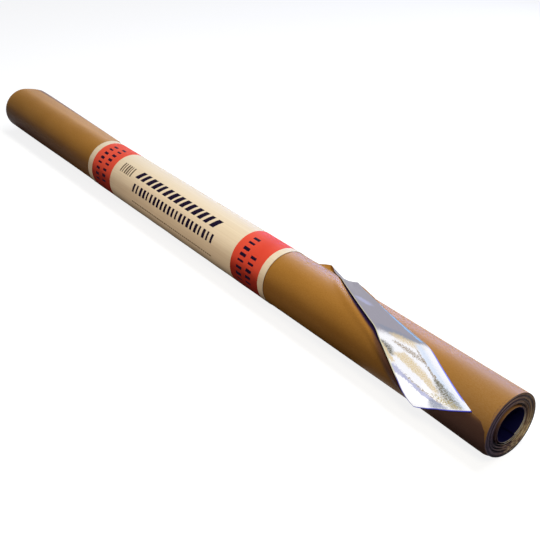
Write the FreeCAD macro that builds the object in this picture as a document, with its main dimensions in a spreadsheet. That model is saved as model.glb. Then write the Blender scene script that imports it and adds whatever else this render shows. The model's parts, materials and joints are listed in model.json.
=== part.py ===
import FreeCAD, Part
import math
import os

# A roll of foil-faced kraft paper lying on its side, with a paper wrapper band round it.
# The sheet is wound with its foil inwards and has no core tube. The near corner of its
# outermost turn is turned back over a soft crease, so that its foil shows. Between the band
# and the far end, the sheet's end springs a little way off the roll.
#
# Frame: +X runs along the roll towards its near end, -Y is the front and +Z is up. The
# origin is on the floor, under the middle of the sheet's width. Angles round the roll are
# in degrees from the top, positive over the front.

sizes = [
    ("web_width", 1250.0, "width of the sheet, which is the length of the roll"),
    ("roll_radius", 41.0, "mean outer radius of the wound sheet"),
    ("floor_sag", 1.2, "height lost where the soft roll lies on the floor"),
    ("turn_step", 0.4, "how far the outermost turn stands off the one below it"),
    ("web_end_angle", -45.0, "where the sheet's end lies"),
    ("bore_radius", 21.5, "inside of the innermost turn"),
    ("bore_rise", 1.5, "height of the bore's axis over the roll's axis"),
    ("bore_advance", 1.5, "how far the bore's axis lies in front of the roll's axis"),
    ("inner_turn_wall", 0.8, "thickness of the innermost turns, which stand loose"),
    ("inner_turn_slip", 3.0, "how far the innermost turns have slid towards the near end"),
    ("mouth_radius", 26.0, "inside of the tight turns, seen at both ends"),
    ("mouth_depth", 22.0, "depth of the gap round the innermost turns"),
    ("coil_wall", 2.0, "tight turns between the mouth and the first open gap"),
    ("coil_pitch", 2.4, "spacing of the open gaps between groups of turns"),
    ("coil_gap", 0.75, "mean width of an open gap"),
    ("coil_gap_drift", 0.5, "how much wider a gap is on its loose side, and narrower opposite"),
    ("coil_loose_angle", 120.0, "side on which the gaps are widest"),
    ("coil_gap_depth", 6.0, "depth of the open gaps"),
    ("coil_rim", 1.0, "least thickness of the turns outside the last gap"),
    ("band_start", 360.0, "far edge of the wrapper band, from the roll's far end"),
    ("band_width", 505.0, "width of the wrapper band"),
    ("band_wall", 0.3, "thickness of the wrapper band"),
    ("band_clearance", 0.1, "gap between the wrapper band and the roll"),
    ("band_floor_gap", 0.1, "height of the band's flattened underside over the floor"),
    ("band_lap_angle", -130.0, "where the band's glued lap begins"),
    ("band_lap_sweep", 28.0, "angle that the lap covers"),
    ("loose_wall", 0.5, "thickness of the sheet where it stands free of the roll"),
    ("flap_gap", 0.6, "least gap between the turned-back corner and the turn below it"),
    ("flap_spring", 2.5, "how far the corner's curve has opened away from the roll"),
    ("flap_seat_angle", 55.0, "where the corner lies closest to the roll"),
    ("crease_start_inset", 320.0, "start of the crease, from the near end"),
    ("crease_kink_inset", 117.0, "slight bend in the crease, from the near end"),
    ("crease_kink_angle", 12.0, "angle of that bend round the roll"),
    ("crease_end_inset", 25.0, "end of the crease at the sheet's side edge"),
    ("crease_end_angle", 60.0, "angle of the crease's end round the roll"),
    ("corner_inset", 110.0, "tip of the turned-back corner, from the near end"),
    ("corner_angle", 126.0, "angle of that tip round the roll"),
    ("cut_edge_inset", 146.0, "point on the sheet's cut end, halfway down the front"),
    ("cut_edge_angle", 63.0, "angle of that point round the roll"),
    ("side_edge_inset", 7.0, "point on the sheet's side edge below the crease"),
    ("side_edge_angle", 71.0, "angle of that point round the roll"),
    ("side_edge_end_angle", 98.0, "where the side edge comes level with the roll's end"),
    ("crease_rise", 0.5, "how far the round of the crease stands over the corner's face"),
    ("crease_sink", 0.8, "depth to which the crease is joined to the turns below it"),
    ("bulge_radius", 3.4, "thickness of the crease where the cut end lifts off the roll"),
    ("bulge_run", 26.0, "length over which that bulge rises, before the crease starts"),
    ("bulge_tail_radius", 0.2, "thickness of that bulge at its far tail"),
    ("lift_angle", -6.0, "where the sheet's end starts to spring off the roll"),
    ("lift_sink", 0.4, "depth to which the lifted end is joined to the roll at that angle"),
    ("lift_corner_sweep", 10.0, "how much further round the sheet's end lies at its far corner"),
    ("lift_corner_rise", 9.3, "height of the sheet's far corner over the roll"),
    ("lift_band_rise", 1.5, "height of the sheet's end over the roll beside the band"),
]

doc = FreeCAD.newDocument("foil_paper_roll")
sheet = doc.addObject("Spreadsheet::Sheet", "sizes")
for line, (alias, value, note) in enumerate(sizes, start=1):
    sheet.set(f"A{line}", alias)
    sheet.set(f"B{line}", str(value))
    sheet.set(f"C{line}", note)
    sheet.setAlias(f"B{line}", alias)
doc.recompute()


def size(alias):
    """The value that the sheet holds for one name."""
    return float(sheet.get(alias))


def unit(angle):
    """Direction at an angle round the roll: x is up and y is to the front."""
    return FreeCAD.Vector(math.cos(math.radians(angle)), math.sin(math.radians(angle)), 0.0)


# In the winding frame z runs from the far end to the near end, x is up and y is to the
# front. Every piece is made in that frame and laid down by this placement.
axis_height = size("roll_radius") - size("floor_sag")
lie_down = FreeCAD.Rotation(
    FreeCAD.Vector(0, 0, 1), FreeCAD.Vector(0, -1, 0), FreeCAD.Vector(1, 0, 0), "ZXY"
)
lying = FreeCAD.Placement(FreeCAD.Vector(-size("web_width") / 2, 0, axis_height), lie_down)


def add_feature(name, shape):
    """A document object with a shape made by Part's own functions."""
    feature = doc.addObject("Part::Feature", name)
    feature.Shape = shape
    feature.Placement = lying
    return feature


def bind(item, **expressions):
    """Ties an object's properties to the sheet."""
    for prop, expression in expressions.items():
        item.setExpression(prop, expression)
    return item


def lay(item, up, forward, start):
    """Lays an object down and ties its place in the winding frame to the sheet."""
    item.Placement = FreeCAD.Placement(FreeCAD.Vector(0, 0, 0), lie_down)
    item.setExpression("Placement.Base.x", f"-sizes.web_width / 2 + ({start})")
    item.setExpression("Placement.Base.y", f"-({forward})")
    item.setExpression("Placement.Base.z", f"sizes.roll_radius - sizes.floor_sag + ({up})")
    return item


def add_cylinder(name, radius, length, start="0", up="0", forward="0"):
    """A cylinder along the roll, from start, with its axis off the roll's axis."""
    cylinder = bind(doc.addObject("Part::Cylinder", name), Radius=radius, Height=length)
    return lay(cylinder, up, forward, start)


def add_slab(name, length, start="0", over_floor="0"):
    """A block under the roll, twice as wide, with its top at a height over the floor."""
    slab = bind(
        doc.addObject("Part::Box", name),
        Length="sizes.roll_radius",
        Width="4 * sizes.roll_radius",
        Height=length,
    )
    down = f"-2 * sizes.roll_radius + sizes.floor_sag + {over_floor}"
    return lay(slab, down, "-2 * sizes.roll_radius", start)


def add_extrusion(name, profile, length, start="0"):
    """A profile of the winding frame, carried along the roll."""
    extrusion = doc.addObject("Part::Extrusion", name)
    extrusion.Base = profile
    extrusion.DirMode = "Custom"
    extrusion.Dir = FreeCAD.Vector(1, 0, 0)
    extrusion.Solid = True
    extrusion.setExpression("LengthFwd", length)
    extrusion.setExpression("Placement.Base.x", start)
    return extrusion


def add_cut(name, base, tool):
    """Base without tool."""
    cut = doc.addObject("Part::Cut", name)
    cut.Base = base
    cut.Tool = tool
    return cut


def add_fuse(name, *pieces):
    """Several pieces joined."""
    fuse = doc.addObject("Part::MultiFuse", name)
    fuse.Shapes = list(pieces)
    return fuse


# ---- outlines across the roll ----

def half_turn(centre, radius, start_angle):
    """Half a circle, from start_angle through 180 degrees."""
    first = centre + unit(start_angle) * radius
    middle = centre + unit(start_angle + 90) * radius
    last = centre - unit(start_angle) * radius
    return Part.Arc(first, middle, last).toShape()


def one_turn_outline(radius, step, end_angle):
    """Outline of a wound sheet: two half turns, and the step down from the sheet's end."""
    shift = unit(end_angle) * (step / 4)
    outer_half = half_turn(shift, radius + step / 4, end_angle)
    inner_half = half_turn(shift * -1, radius - step / 4, end_angle + 180)
    step_line = Part.makeLine(
        unit(end_angle) * (radius - step / 2), unit(end_angle) * (radius + step / 2)
    )
    return Part.Face(Part.Wire([outer_half, inner_half, step_line]))


def spiral_edges(start_radius, pitch, half_turns, start_angle, centre):
    """A spiral of half circles, whose centres lie a quarter pitch either side of centre."""
    edges = []
    for turn in range(half_turns):
        angle = start_angle + 180 * turn
        radius = start_radius + pitch * (2 * turn + 1) / 4
        edges.append(half_turn(centre - unit(angle) * (pitch / 4), radius, angle))
    return edges


def open_gap_outline():
    """The open gap between groups of turns: a spiral strip, wider on its loose side."""
    pitch = size("coil_pitch")
    gap = size("coil_gap")
    drift = size("coil_gap_drift")
    loose = size("coil_loose_angle")
    start = size("mouth_radius") + size("coil_wall")
    room = size("roll_radius") - size("coil_rim") - start - gap - drift
    half_turns = int(room / (pitch / 2))
    inner = spiral_edges(start, pitch, half_turns, loose + 90, FreeCAD.Vector(0, 0, 0))
    outer = spiral_edges(start + gap, pitch, half_turns, loose + 90, unit(loose) * drift)
    first = Part.makeLine(inner[0].firstVertex(True).Point, outer[0].firstVertex(True).Point)
    last = Part.makeLine(inner[-1].lastVertex(True).Point, outer[-1].lastVertex(True).Point)
    return Part.Face(Part.Wire(inner + [last] + outer[::-1] + [first]))


# ---- patches of sheet wrapped on a cylinder ----

def wrapped_edges(points, radius, centre):
    """Straight lines of the flat sheet, wrapped on a cylinder as lengths of helix."""
    surface = Part.Cylinder()
    surface.Center = centre
    surface.Radius = radius
    corners = [FreeCAD.Base.Vector2d(math.radians(angle), along) for along, angle in points]
    edges = []
    for first, last in zip(corners, corners[1:] + corners[:1]):
        edges.append(Part.Geom2d.Line2dSegment(first, last).toShape(surface))
    return surface, edges


def wrapped_patch(points, inner_radius, outer_radius, centre):
    """A solid between two cylinders of one axis, over an outline of (along, angle) corners."""
    inner_surface, inner_edges = wrapped_edges(points, inner_radius, centre)
    outer_surface, outer_edges = wrapped_edges(points, outer_radius, centre)
    faces = [
        Part.Face(inner_surface, Part.Wire(inner_edges)),
        Part.Face(outer_surface, Part.Wire(outer_edges)),
    ]
    for inner, outer in zip(inner_edges, outer_edges):
        faces.append(Part.makeRuledSurface(inner, outer))
    shell = Part.Shell(faces)
    shell.sewShape()
    solid = Part.Solid(shell)
    precision, least_tolerance, most_tolerance = 1e-4, 1e-5, 1e-3
    solid.fix(precision, least_tolerance, most_tolerance)
    if solid.Volume < 0:
        solid.reverse()
    return solid


def near(inset):
    """Place along the roll of a point given from the near end."""
    return size("web_width") - size(inset)


def flap_centre():
    """The turned-back corner's curve is centred beyond the roll's axis, so it springs open."""
    return unit(size("flap_seat_angle")) * -size("flap_spring")


def flap_radius():
    """Inner radius of the turned-back corner about its own centre."""
    seat = size("roll_radius") + size("turn_step") / 2 + size("flap_gap")
    return seat + size("flap_spring")


def crease_points():
    """The crease: it starts at the sheet's cut end, bends a little and ends at the side edge."""
    return [
        (near("crease_start_inset"), size("web_end_angle")),
        (near("crease_kink_inset"), size("crease_kink_angle")),
        (near("crease_end_inset"), size("crease_end_angle")),
    ]


def to_flap(point):
    """The same place along, with its angle round the roll turned into one round the corner's centre."""
    along, angle = point
    centre = flap_centre()
    spoke = unit(angle)
    reach = centre * spoke
    radius = flap_radius() + size("loose_wall")
    outside = spoke * (reach + math.sqrt(radius**2 - centre.Length**2 + reach**2)) - centre
    return along, math.degrees(math.atan2(outside.y, outside.x))


def flap_shape():
    """The turned-back corner: crease, side edge, tip and cut end."""
    outline = crease_points() + [
        (near("corner_inset"), size("corner_angle")),
        (near("cut_edge_inset"), size("cut_edge_angle")),
    ]
    outline = [to_flap(point) for point in outline]
    radius = flap_radius()
    return wrapped_patch(outline, radius, radius + size("loose_wall"), flap_centre())


def uncovered_shape():
    """What the outermost turn no longer covers, between the crease and the near end."""
    beyond = size("web_width") + size("mouth_depth")
    outline = crease_points() + [
        (near("side_edge_inset"), size("side_edge_angle")),
        (size("web_width"), size("side_edge_end_angle")),
        (beyond, size("side_edge_end_angle")),
        (beyond, size("web_end_angle")),
    ]
    step = size("turn_step")
    outer_half_radius = size("roll_radius") + step / 4
    clear_of_roll = 2 * size("roll_radius")
    centre = unit(size("web_end_angle")) * (step / 4)
    return wrapped_patch(outline, outer_half_radius - step, clear_of_roll, centre)


def crease_ring(along, flap_angle, radius=None):
    """A ring of the crease: its centre and radius, from the turns below to over the corner."""
    reach = flap_radius() + size("loose_wall") + size("crease_rise")
    top = flap_centre() + unit(flap_angle) * reach
    spoke = FreeCAD.Vector(top).normalize()
    floor = size("roll_radius") - size("crease_sink")
    if radius is None:
        radius = (top.Length - floor) / 2
    return spoke * (floor + radius) + FreeCAD.Vector(0, 0, along), radius


def crease_shape():
    """The soft round of the crease, with a bulge where the sheet's cut end lifts off."""
    start, kink, end = [to_flap(point) for point in crease_points()]
    steps_per_run = 4
    rings = [
        crease_ring(start[0] - size("bulge_run"), start[1], size("bulge_tail_radius")),
        crease_ring(start[0], start[1], size("bulge_radius")),
    ]
    for first, last in ((start, kink), (kink, end)):
        for step in range(1, steps_per_run + 1):
            share = step / steps_per_run
            along = first[0] + (last[0] - first[0]) * share
            angle = first[1] + (last[1] - first[1]) * share
            rings.append(crease_ring(along, angle))
    wires = []
    for index, (centre, radius) in enumerate(rings):
        before = rings[max(index - 1, 0)][0]
        after = rings[min(index + 1, len(rings) - 1)][0]
        wires.append(Part.Wire(Part.Circle(centre, after - before, radius).toShape()))
    return Part.makeLoft(wires, True, True)


# ---- the sheet's end, between the far end and the band ----

def lifted_point(along, angle, rise):
    """A point at a height over the roll."""
    return unit(angle) * (size("roll_radius") + rise) + FreeCAD.Vector(0, 0, along)


def lifted_section(along, end_angle, end_rise):
    """The sheet's end across the roll, which rises with the square of the way round."""
    halfway = 0.5
    root_angle = size("lift_angle")
    middle_angle = root_angle + (end_angle - root_angle) * halfway
    stations = [
        (root_angle, -size("lift_sink")),
        (middle_angle, end_rise * halfway**2),
        (end_angle, end_rise),
    ]
    outer = [lifted_point(along, angle, rise) for angle, rise in stations]
    inner = [lifted_point(along, angle, rise - size("loose_wall")) for angle, rise in stations]
    return Part.Wire([
        Part.Arc(*outer).toShape(),
        Part.makeLine(outer[-1], inner[-1]),
        Part.Arc(*inner[::-1]).toShape(),
        Part.makeLine(inner[0], outer[0]),
    ])


def lifted_end_shape():
    """The sheet's end springs off the roll, most at its far corner and least beside the band."""
    corner_angle = size("web_end_angle") - size("lift_corner_sweep")
    beside_band = size("band_start") - size("band_clearance")
    return Part.makeLoft([
        lifted_section(0, corner_angle, size("lift_corner_rise")),
        lifted_section(beside_band, size("web_end_angle"), size("lift_band_rise")),
    ], True, True)


# ---- the wound sheet ----

def build_roll():
    """The whole sheet as one solid: turns, open ends, bore, lifted end and turned-back corner."""
    outline = add_feature(
        "turn_outline",
        one_turn_outline(size("roll_radius"), size("turn_step"), size("web_end_angle")),
    )
    turns = add_extrusion("wound_turns", outline, "sizes.web_width")
    gap = add_feature("gap_outline", open_gap_outline())
    far_gap = add_extrusion("far_gap", gap, "sizes.coil_gap_depth")
    near_gap = add_extrusion(
        "near_gap", gap, "sizes.coil_gap_depth", "sizes.web_width - sizes.coil_gap_depth"
    )
    far_mouth = add_cylinder("far_mouth", "sizes.mouth_radius", "sizes.mouth_depth")
    near_mouth = add_cylinder(
        "near_mouth",
        "sizes.mouth_radius",
        "sizes.mouth_depth",
        "sizes.web_width - sizes.mouth_depth",
    )
    floor = add_slab("floor_flat", "sizes.web_width")
    seat = add_slab(
        "band_seat",
        "sizes.band_width + 2 * sizes.band_clearance",
        "sizes.band_start - sizes.band_clearance",
        "sizes.band_floor_gap + sizes.band_wall + sizes.band_clearance",
    )
    uncovered = add_feature("uncovered_turn", uncovered_shape())
    tools = add_fuse("end_and_floor_cuts", far_gap, near_gap, far_mouth, near_mouth, floor, seat)
    open_turns = add_cut("open_turns", turns, tools)
    bared_turns = add_cut("bared_turns", open_turns, uncovered)
    inner_turn = add_cylinder(
        "inner_turn",
        "sizes.bore_radius + sizes.inner_turn_wall",
        "sizes.web_width",
        "sizes.inner_turn_slip",
        "sizes.bore_rise",
        "sizes.bore_advance",
    )
    bore = add_cylinder(
        "bore",
        "sizes.bore_radius",
        "sizes.web_width + 2 * sizes.inner_turn_slip",
        "0",
        "sizes.bore_rise",
        "sizes.bore_advance",
    )
    flap = add_feature("turned_back_corner", flap_shape())
    crease = add_feature("crease", crease_shape())
    lifted_end = add_feature("lifted_end", lifted_end_shape())
    solid_roll = add_fuse("solid_roll", bared_turns, inner_turn, crease, flap, lifted_end)
    roll = add_cut("foil_paper_roll", solid_roll, bore)
    roll.Label = "foil_paper_roll"
    return roll


# ---- the wrapper band ----

def build_band():
    """A sleeve of printed paper round the roll, with a glued lap and a flattened underside."""
    place = ("sizes.band_width", "sizes.band_start")
    inside = "sizes.roll_radius + sizes.turn_step / 2 + sizes.band_clearance"
    outside = f"{inside} + sizes.band_wall"
    sleeve = add_cylinder("band_sleeve", outside, *place)
    lap = add_cylinder("band_lap", f"{outside} + sizes.band_wall", *place)
    lap.setExpression("Angle", "sizes.band_lap_sweep")
    turn = FreeCAD.Rotation(FreeCAD.Vector(0, 0, 1), size("band_lap_angle"))
    lap.Placement = FreeCAD.Placement(lap.Placement.Base, lie_down * turn)
    whole = add_fuse("band_outside", sleeve, lap)
    flattened = add_cut("band_flattened", whole, add_slab("band_floor", *place, "sizes.band_floor_gap"))
    cavity = add_cylinder("band_round_cavity", inside, *place)
    cavity_floor = add_slab("band_cavity_floor", *place, "sizes.band_floor_gap + sizes.band_wall")
    flat_cavity = add_cut("band_cavity", cavity, cavity_floor)
    band = add_cut("paper_band", flattened, flat_cavity)
    band.Label = "paper_band"
    return band


nodes = [build_roll(), build_band()]
doc.recompute()

for item in doc.Objects:
    if "Invalid" in item.State or "Error" in item.State:
        raise RuntimeError(f"{item.Name} did not compute")
for node in nodes:
    if node.Shape.isNull() or not node.Shape.isValid():
        raise RuntimeError(f"{node.Label} has no valid shape")

os.makedirs("parts", exist_ok=True)
for node in nodes:
    node.Shape.exportStep(f"parts/{node.Label}.step")
    print(node.Label, "solids", len(node.Shape.Solids), "volume", round(node.Shape.Volume))
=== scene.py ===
import json
import math

import bmesh
import bpy
import numpy as np
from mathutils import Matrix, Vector


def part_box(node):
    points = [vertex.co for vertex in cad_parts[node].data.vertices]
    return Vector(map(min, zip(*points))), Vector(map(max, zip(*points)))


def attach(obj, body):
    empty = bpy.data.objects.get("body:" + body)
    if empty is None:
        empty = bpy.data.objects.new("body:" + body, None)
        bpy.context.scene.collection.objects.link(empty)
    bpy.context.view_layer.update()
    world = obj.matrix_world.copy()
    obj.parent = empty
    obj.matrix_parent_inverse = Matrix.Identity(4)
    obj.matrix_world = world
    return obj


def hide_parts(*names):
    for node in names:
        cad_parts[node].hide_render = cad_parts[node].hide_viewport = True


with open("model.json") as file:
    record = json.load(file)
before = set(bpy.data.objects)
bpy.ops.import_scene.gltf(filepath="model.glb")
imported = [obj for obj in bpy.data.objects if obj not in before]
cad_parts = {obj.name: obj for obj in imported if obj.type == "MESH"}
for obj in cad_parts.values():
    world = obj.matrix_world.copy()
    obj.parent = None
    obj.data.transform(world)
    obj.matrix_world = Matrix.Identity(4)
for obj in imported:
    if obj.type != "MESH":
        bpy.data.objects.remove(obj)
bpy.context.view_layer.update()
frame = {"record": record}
print("frame loaded")

mm = 0.001
bandLow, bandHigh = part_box("paper_band")
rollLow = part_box("foil_paper_roll")[0]
mounts = {mount["name"]: mount for mount in frame["record"]["mounts"]}

# Lengths are millimetres and angles degrees. "along" runs from the roll's far end to its near
# end, "angle" goes round from the top and is positive over the front, "reach" is from the axis.
roll = {
    "width": -2 * rollLow.x / mm,
    "axisHeight": 39.8,
    "reach": 41.2,            # outer face of the sheet at its cut end
    "turnStep": 0.4,          # reach lost over one turn
    "wall": 0.3,
    "floorSoftness": 0.4,     # how softly the underside flattens on the floor
    "sag": 1.6,               # the lower front is flattened by this much, most of all at one angle
    "sagAngle": 140.0,
    "sagFrom": 1130.0,        # and loses most of that towards the near end
    "sagFade": 110.0,
    "sagLost": 0.8,
    "dent": 2.4,              # the last stretch before the near end dips in by this much more
    "dentAngle": 150.0,
    "dentLength": 9.0,
    "cutAngle": -45.0,
    "underlap": 480.0,        # the outer turn carries on to this angle, under itself
}


# 3t^2 - 2t^3, level at both ends
def ease(share):
    share = np.clip(share, 0.0, 1.0)
    return share * share * (3.0 - 2.0 * share)


# a smooth line through a few points: cubic pieces whose slope at a point is that of its neighbours
def smoothLine(points, place):
    points = np.asarray(points, float)
    knots = points[:, 0]
    slopes = np.gradient(points[:, 1], knots)
    index = np.clip(np.searchsorted(knots, place) - 1, 0, len(knots) - 2)
    span = knots[index + 1] - knots[index]
    t = np.clip((place - knots[index]) / span, 0.0, 1.0)
    rise = points[index + 1, 1] - points[index, 1]
    cubic = (slopes[index] + slopes[index + 1]) * span - 2 * rise
    square = 3 * rise - (2 * slopes[index] + slopes[index + 1]) * span
    return points[index, 1] + slopes[index] * span * t + square * t ** 2 + cubic * t ** 3


# Along, angle and reach to a point of the frame. The reach falls over the lower front by the cube
# of (1 + cosine) / 2, and at the near end by its tenth power. The height h over the floor becomes
# half of h + sqrt(h^2 + softness^2), which eases out flat.
def onRoll(along, angle, reach, floor=0.0):
    along, angle, reach = np.broadcast_arrays(along, angle, reach)
    turn = np.radians(angle)
    sag = roll["sag"] * (1 - roll["sagLost"] * ease((along - roll["sagFrom"]) / roll["sagFade"]))
    reach = reach - sag * (0.5 + 0.5 * np.cos(turn - np.radians(roll["sagAngle"]))) ** 3
    dent = roll["dent"] * ease((along - roll["width"] + roll["dentLength"]) / roll["dentLength"])
    reach = reach - dent * (0.5 + 0.5 * np.cos(turn - np.radians(roll["dentAngle"]))) ** 10
    height = roll["axisHeight"] + reach * np.cos(turn) - floor
    height = floor + 0.5 * (height + np.sqrt(height ** 2 + roll["floorSoftness"] ** 2))
    return np.stack([along - roll["width"] / 2, -reach * np.sin(turn), height], axis=-1) * mm


# reach of the wound sheet: it falls by one step over each turn from the cut end
def woundReach(angle):
    return roll["reach"] - roll["turnStep"] * (angle - roll["cutAngle"]) / 360


# corner numbers of the faces between neighbouring points of a grid
def gridFaces(rows, columns, wrapColumns=False):
    row = np.arange(rows - 1)[:, None]
    column = np.arange(columns if wrapColumns else columns - 1)[None, :]
    after = (column + 1) % columns
    corners = [row * columns + column, row * columns + after]
    corners += [(row + 1) * columns + after, (row + 1) * columns + column]
    return np.stack(corners, axis=-1).reshape(-1, 4)


# normals of a grid: cross product of the steps along its columns and its rows
def gridNormals(points):
    normal = np.cross(np.gradient(points, axis=1), np.gradient(points, axis=0))
    return normal / np.linalg.norm(normal, axis=-1, keepdims=True)


# A sheet of a given wall from the grid of its outer face: the inner face is the outer one moved
# against its normals, and the four edges close it. Face kinds: 0 outer, 1 inner, 2 cut edge.
def thickSheet(outer, wall):
    rows, columns = outer.shape[:2]
    inner = outer - gridNormals(outer) * wall * mm
    ring = np.concatenate([outer, inner[:, ::-1]], axis=1)
    sides = gridFaces(rows, 2 * columns, wrapColumns=True)
    kinds = np.zeros((rows - 1, 2 * columns), int)
    kinds[:, columns:] = 1
    kinds[:, [columns - 1, 2 * columns - 1]] = 2
    step = np.arange(columns - 1)
    back = 2 * columns - 1 - step
    cap = np.stack([step, back, back - 1, step + 1], axis=-1)
    caps = np.concatenate([cap, cap[:, ::-1] + (rows - 1) * 2 * columns])
    faces = np.concatenate([sides, caps])
    return ring.reshape(-1, 3), faces, np.concatenate([kinds.ravel(), np.full(len(caps), 2)])


# place on the flat sheet for each point of a thick sheet, in metres
def flatPlace(first, second, third=0.0):
    first, second, third = np.broadcast_arrays(first, second, third)
    both = np.stack([first, second, third], axis=-1) * mm
    return np.concatenate([both, both[:, ::-1]], axis=1).reshape(-1, 3)


# a mesh object from whole arrays, with its faces turned outwards by the sign of its volume
def addPiece(name, points, faces, kinds, materials, flat=None, weld=0.0):
    corner = points[faces]
    first, second, third, fourth = (corner[:, k] for k in range(4))
    cones = np.cross(second - first, third - first) + np.cross(third - first, fourth - first)
    if np.sum(first * cones) < 0:
        faces = faces[:, ::-1]
    mesh = bpy.data.meshes.new(name)
    mesh.from_pydata(points, [], faces)
    mesh.polygons.foreach_set("material_index", np.asarray(kinds, np.int32))
    mesh.polygons.foreach_set("use_smooth", np.ones(len(faces), bool))
    if flat is not None:
        layer = mesh.attributes.new("onSheet", "FLOAT_VECTOR", "POINT")
        layer.data.foreach_set("vector", flat.astype(np.float32).ravel())
    for material in materials:
        mesh.materials.append(material)
    if weld:
        shell = bmesh.new()
        shell.from_mesh(mesh)
        bmesh.ops.remove_doubles(shell, verts=shell.verts, dist=weld * mm)
        shell.to_mesh(mesh)
        shell.free()
    mesh.set_sharp_from_angle(angle=math.radians(38))
    piece = bpy.data.objects.new(name, mesh)
    bpy.context.scene.collection.objects.link(piece)
    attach(piece, "root")
    print(name, len(mesh.polygons), "faces")
    return piece


# a display colour of 0 to 255 as linear light: a power of 2.4 with a straight foot
def srgb(red, green, blue):
    levels = np.array([red, green, blue]) / 255
    return (*np.where(levels < 0.04045, levels / 12.92, ((levels + 0.055) / 1.055) ** 2.4), 1.0)


# a material, its nodes and its shader; an underscore stands for the space in a socket's name
def newMaterial(name, **settings):
    material = bpy.data.materials.new(name)
    material.use_nodes = True
    shader = material.node_tree.nodes["Principled BSDF"]
    for socket, value in settings.items():
        shader.inputs[socket.replace("_", " ")].default_value = value
    return material, material.node_tree, shader


# one node; values set its sockets, wires join other nodes' outputs to them
def node(tree, kind, values=None, wires=None, **options):
    made = tree.nodes.new("ShaderNode" + kind)
    for option, value in options.items():
        setattr(made, option, value)
    for socket, value in (values or {}).items():
        made.inputs[socket].default_value = value
    for socket, output in (wires or {}).items():
        tree.links.new(output, made.inputs[socket])
    return made


# one sum on numbers and other nodes' outputs
def maths(tree, operation, first, second=None, third=None):
    made = tree.nodes.new("ShaderNodeMath")
    made.operation = operation
    for slot, value in enumerate((first, second, third)):
        if isinstance(value, (int, float)):
            made.inputs[slot].default_value = value
        elif value is not None:
            tree.links.new(value, made.inputs[slot])
    return made.outputs[0]


# product, difference and absolute value
def times(tree, first, second):
    return maths(tree, "MULTIPLY", first, second)


def minus(tree, first, second):
    return maths(tree, "SUBTRACT", first, second)


def absolute(tree, value):
    return maths(tree, "ABSOLUTE", value)


# place on the object, place on the flat sheet, and the three parts of a place
def onObject(tree):
    return node(tree, "TexCoord").outputs["Object"]


def onSheet(tree):
    return node(tree, "Attribute", attribute_name="onSheet").outputs["Vector"]


def threeParts(tree, place):
    return node(tree, "SeparateXYZ", wires={"Vector": place}).outputs


# joins a colour to the shader
def paint(tree, shader, colour):
    tree.links.new(colour, shader.inputs["Base Color"])


# straight ramp from 0 at one value to 1 at another
def ramp(tree, value, low, high):
    return node(tree, "MapRange", {"From Min": low, "From Max": high}, {"Value": value}).outputs[0]


# soft step from 0 at one value to 1 at another
def softStep(tree, value, low, high):
    return node(tree, "MapRange", {"From Min": low, "From Max": high}, {"Value": value},
                interpolation_type="SMOOTHSTEP").outputs[0]


# noise on stretched coordinates, spread from its middle range to 0..1
def streaks(tree, place, stretch, scale, low, high, detail=3.0):
    moved = node(tree, "Mapping", {"Scale": stretch}, {"Vector": place})
    noise = node(tree, "TexNoise", {"Scale": scale, "Detail": detail}, {"Vector": moved.outputs[0]})
    return ramp(tree, noise.outputs[0], low, high)


# a mix of two colours, each a fixed one or another node's output
def blend(tree, share, first, second):
    made = node(tree, "Mix", wires={0: share}, data_type="RGBA")
    for slot, value in ((6, first), (7, second)):
        if isinstance(value, tuple):
            made.inputs[slot].default_value = value
        else:
            tree.links.new(value, made.inputs[slot])
    return made.outputs[2]


# relief in the shading only, with its depth in millimetres
def bump(tree, shader, height, depth, strength=1.0):
    made = node(tree, "Bump", {"Strength": strength, "Distance": depth * mm}, {"Height": height})
    tree.links.new(made.outputs[0], shader.inputs["Normal"])


kraft = {
    "colour": srgb(164, 115, 50),
    "dark": srgb(146, 99, 38),
    "pale": srgb(174, 124, 58),
    "near": srgb(160, 120, 72),    # greyer, towards the near end
    "nearFrom": (0.49, 0.6),       # from the roll's middle, in metres
    "nearShare": 0.85,
    "gap": srgb(30, 18, 54),       # painted shade: in the gap beside the corner, under it and low on the front
    "edgeShadowWidth": 2.0,               # width of the soft painted shadow beside the wrapper
    "edgeShadowShare": 0.6,
    "fleckShare": 0.55,
    "fibre": 0.03,                 # depth of the fibres
    "roughness": 0.5,
}


# Brown kraft: wide soft clouds and fine fibres drawn out along the roll, in a colour that turns
# greyer towards the near end. The third number of the place on the sheet is the share of the
# painted shade colour, and a thin painted shadow runs along the wrapper's edges.
def kraftPaper():
    material, tree, shader = newMaterial("kraft paper", Roughness=kraft["roughness"],
                                         Specular_IOR_Level=0.04)
    place = onObject(tree)
    clouds = streaks(tree, place, (1.0, 2.0, 2.0), 14, 0.3, 0.7)
    fibres = streaks(tree, place, (1.0, 3.0, 3.0), 420, 0.3, 0.7)
    lengthwise = threeParts(tree, place)[0]
    colour = blend(tree, clouds, kraft["colour"], kraft["pale"])
    near = times(tree, softStep(tree, lengthwise, *kraft["nearFrom"]), kraft["nearShare"])
    colour = blend(tree, near, colour, kraft["near"])
    flecks = times(tree, fibres, kraft["fleckShare"])
    colour = blend(tree, flecks, colour, kraft["dark"])
    # painted shade from the third number of the place on the sheet
    gap = times(tree, threeParts(tree, onSheet(tree))[2], 1000.0)
    # a soft painted shadow along the wrapper's edges
    outside = maths(tree, "MAXIMUM", minus(tree, float(bandLow.x), lengthwise),
                    minus(tree, lengthwise, float(bandHigh.x)))
    edge = softStep(tree, outside, kraft["edgeShadowWidth"] * mm, 0.0)
    edge = times(tree, edge, kraft["edgeShadowShare"])
    colour = blend(tree, maths(tree, "MAXIMUM", gap, edge), colour, kraft["gap"])
    paint(tree, shader, colour)
    bump(tree, shader, fibres, kraft["fibre"])
    return material


# colours of the painted reflections and highlights in the turned-back foil
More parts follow.
